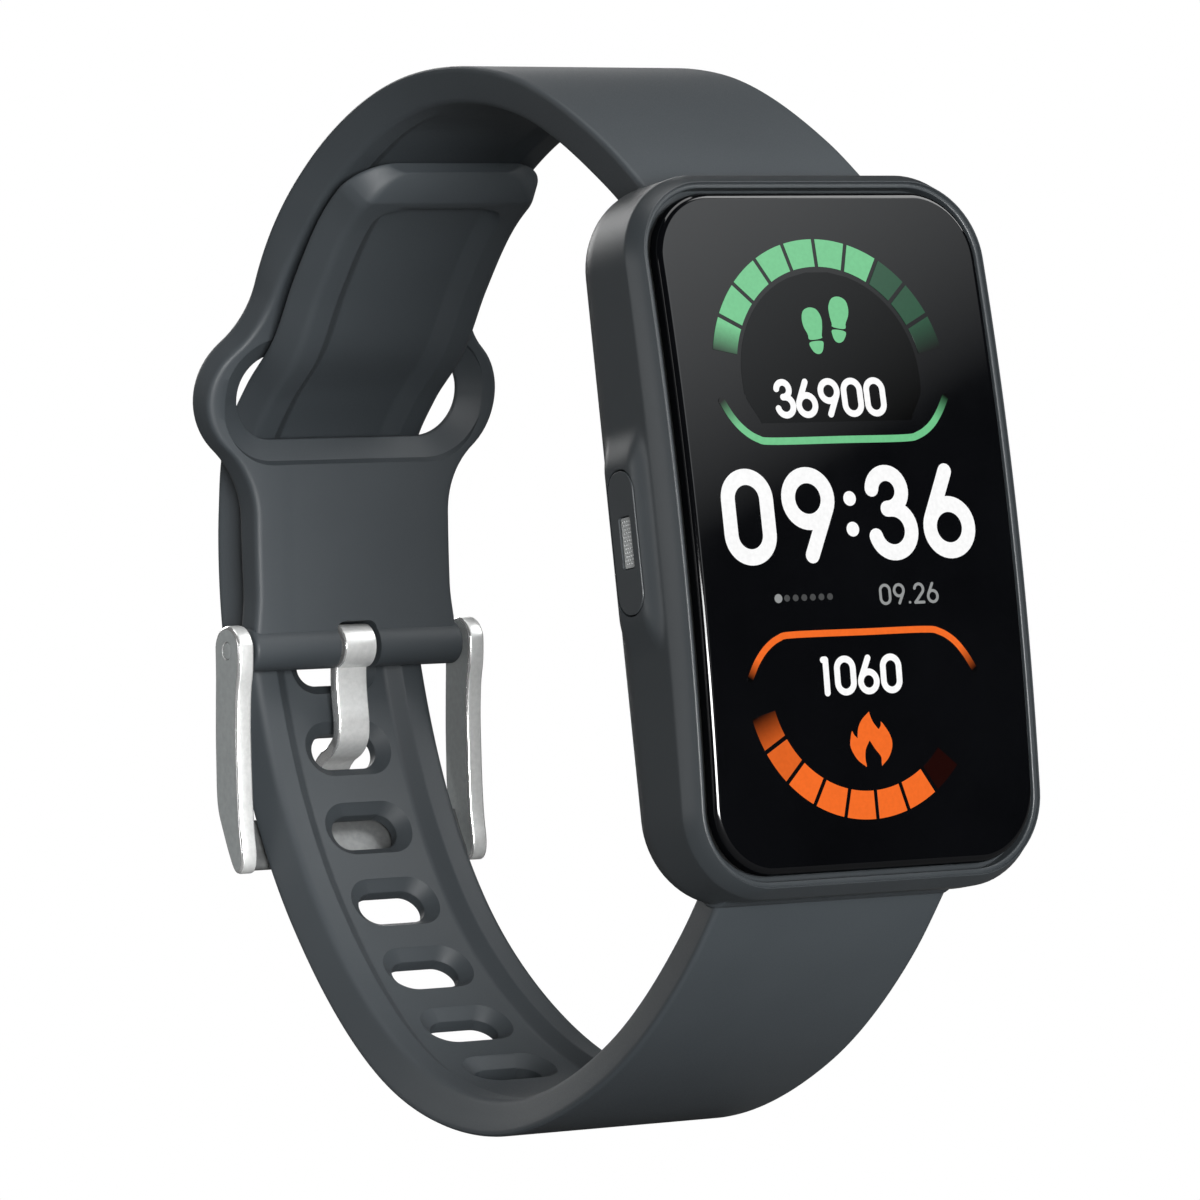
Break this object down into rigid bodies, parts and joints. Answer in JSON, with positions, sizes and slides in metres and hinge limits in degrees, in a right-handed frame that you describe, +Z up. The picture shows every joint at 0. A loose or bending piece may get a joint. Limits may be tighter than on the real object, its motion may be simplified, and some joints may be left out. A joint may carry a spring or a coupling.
{
  "type": "fitness tracker band",
  "caption": "Wrist band with a slim curved-glass touch display case, quick-release silicone strap halves, a keeper loop and a pin buckle, fastened in a loop",
  "frame": {"origin": "centre of the bounding box's base, where the bottom of the fastened loop rests", "axes": "+Z up; the display faces -Y and leans back 10.7 degrees; the side button is on -X"},
  "size_m": [0.0266, 0.0663, 0.0673],
  "materials": {
    "silicone": "satin moulded silicone",
    "case": "satin moulded plastic",
    "lens": "polished, gently curved",
    "window": "polished dark lens",
    "screen": "dark display laminate",
    "steel": "bead blasted with polished edges",
    "inlay": "fine textured",
    "seal": "matte",
    "board": "solder mask",
    "chip": "moulded resin",
    "foil": "pouch foil",
    "flex": "polyimide film",
    "led": "clear resin",
    "gold": "gold plated"
  },
  "bodies": {
    "root": {"case_frame": "case", "back_cover": "case", "front_lens": "lens", "sensor_window": "window", "lens_gasket": "seal", "back_seal": "seal", "button_seal": "seal", "display_panel": "screen", "display_flex": "flex", "inner_chassis": "chip", "main_board": "board", "sensor_board": "board", "shield_can": "steel", "radio_chip": "chip", "battery": "foil", "board_screw_a": "steel", "board_screw_b": "steel", "vibration_motor": "steel", "tact_switch": "chip", "heart_led_a": "led", "heart_led_b": "led", "light_sensor": "chip", "charge_contact_a": "gold", "charge_contact_b": "gold", "strap_upper": "silicone", "strap_lower": "silicone", "upper_bar_tube": "steel", "upper_bar_spring": "steel", "lower_bar_tube": "steel", "lower_bar_spring": "steel", "buckle_pin": "steel"},
    "button": {"side_button": "case", "button_inlay": "inlay"},
    "motor": {"motor_weight": "steel"},
    "buckle": {"buckle_frame": "steel"},
    "prong": {"buckle_prong": "steel"},
    "upper_release": {"upper_release_tip": "steel"},
    "lower_release": {"lower_release_tip": "steel"}
  },
  "joints": [
    {"name": "button_press", "type": "slide", "parent": "root", "child": "button", "axis": [1, 0, 0], "range_m": [0, 0.0004], "stiffness_N_per_m": 400, "springref_m": -0.0005},
    {"name": "motor_spin", "type": "hinge", "parent": "root", "child": "motor", "pos_m": [0.00885, -0.02261, 0.04719], "axis": [0, 0.1857, 0.9826], "continuous": true},
    {"name": "buckle_swing", "type": "hinge", "parent": "root", "child": "buckle", "pos_m": [0.00045, 0.0283, 0.02902], "axis": [1, 0, 0], "range_deg": [0, 5]},
    {"name": "prong_swing", "type": "hinge", "parent": "buckle", "child": "prong", "pos_m": [0.00045, 0.0283, 0.02902], "axis": [1, 0, 0], "range_deg": [0, 2]},
    {"name": "upper_release", "type": "slide", "parent": "root", "child": "upper_release", "axis": [1, 0, 0], "range_m": [0, 0.0012], "stiffness_N_per_m": 200, "springref_m": -0.001},
    {"name": "lower_release", "type": "slide", "parent": "root", "child": "lower_release", "axis": [1, 0, 0], "range_m": [0, 0.0012], "stiffness_N_per_m": 200, "springref_m": -0.001}
  ]
}
